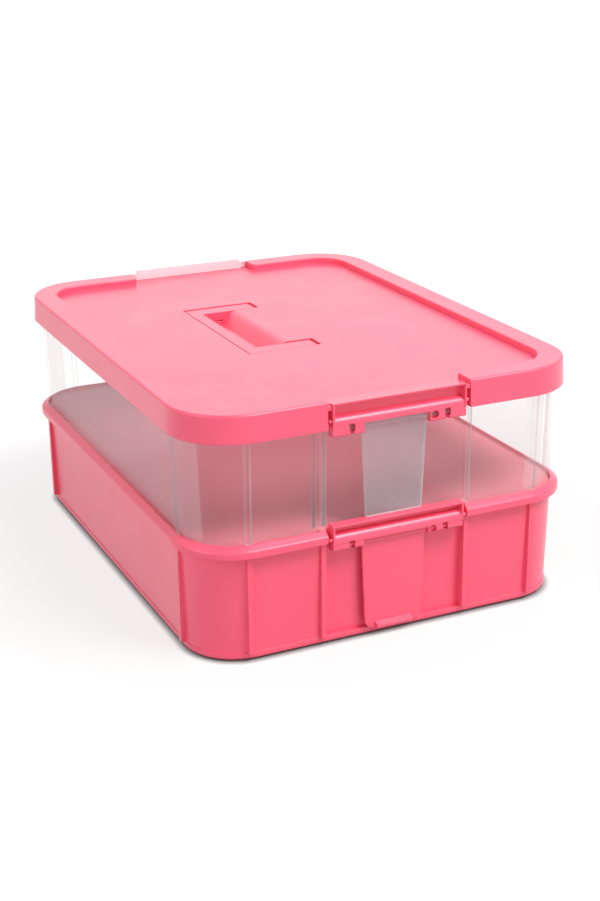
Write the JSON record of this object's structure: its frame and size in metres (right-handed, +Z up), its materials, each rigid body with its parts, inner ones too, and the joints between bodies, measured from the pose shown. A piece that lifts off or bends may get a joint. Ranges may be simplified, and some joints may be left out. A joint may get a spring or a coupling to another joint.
{
  "type": "craft storage box",
  "caption": "Rectangular stacking craft box: opaque base, clear upper box, lid with a fold-flat carrying handle, and swinging latches on both short faces.",
  "frame": {"origin": "middle of the underside, on the surface the box stands on", "axes": "+X along the short faces that carry the latches, +Y from the front latch face to the back one, +Z up"},
  "size_m": [0.27, 0.351, 0.1616],
  "materials": {
    "pink_plastic": "satin moulded polypropylene",
    "clear_plastic": "clear moulded polypropylene, smooth",
    "frosted_plastic": "frosted clear moulded polypropylene"
  },
  "bodies": {
    "lower_box": {"lower_box": "pink_plastic"},
    "divider_lid": {"divider_lid": "pink_plastic"},
    "upper_box": {"upper_box": "clear_plastic"},
    "lid": {"lid": "pink_plastic"},
    "handle": {"handle": "pink_plastic"},
    "front_upper_latch": {"front_upper_latch": "frosted_plastic"},
    "rear_upper_latch": {"rear_upper_latch": "frosted_plastic"},
    "front_lower_latch": {"front_lower_latch": "pink_plastic"},
    "rear_lower_latch": {"rear_lower_latch": "pink_plastic"},
    "rear_hook": {"rear_hook": "clear_plastic"}
  },
  "joints": [
    {"name": "divider_lift", "type": "slide", "parent": "lower_box", "child": "divider_lid", "axis": [0, 0, 1], "range_m": [0, 0.1]},
    {"name": "upper_box_lift", "type": "slide", "parent": "divider_lid", "child": "upper_box", "axis": [0, 0, 1], "range_m": [0, 0.1]},
    {"name": "lid_lift", "type": "slide", "parent": "upper_box", "child": "lid", "axis": [0, 0, 1], "range_m": [0, 0.1]},
    {"name": "handle_fold", "type": "hinge", "parent": "lid", "child": "handle", "pos_m": [0.0034, 0.0075, 0.1526], "axis": [0, 1, 0], "range_deg": [0, 90]},
    {"name": "front_upper_latch_swing", "type": "hinge", "parent": "lid", "child": "front_upper_latch", "pos_m": [0, -0.172, 0.1414], "axis": [-1, 0, 0], "range_deg": [0, 90]},
    {"name": "rear_upper_latch_swing", "type": "hinge", "parent": "lid", "child": "rear_upper_latch", "pos_m": [0, 0.172, 0.1414], "axis": [1, 0, 0], "range_deg": [0, 90]},
    {"name": "front_lower_latch_swing", "type": "hinge", "parent": "lower_box", "child": "front_lower_latch", "pos_m": [0, -0.172, 0.0664], "axis": [-1, 0, 0], "range_deg": [0, 90]},
    {"name": "rear_lower_latch_swing", "type": "hinge", "parent": "lower_box", "child": "rear_lower_latch", "pos_m": [0, 0.172, 0.0664], "axis": [1, 0, 0], "range_deg": [0, 90]},
    {"name": "rear_hook_swing", "type": "hinge", "parent": "lid", "child": "rear_hook", "pos_m": [0, 0.1735, 0.1473], "axis": [-1, 0, 0], "range_deg": [0, 60]}
  ]
}
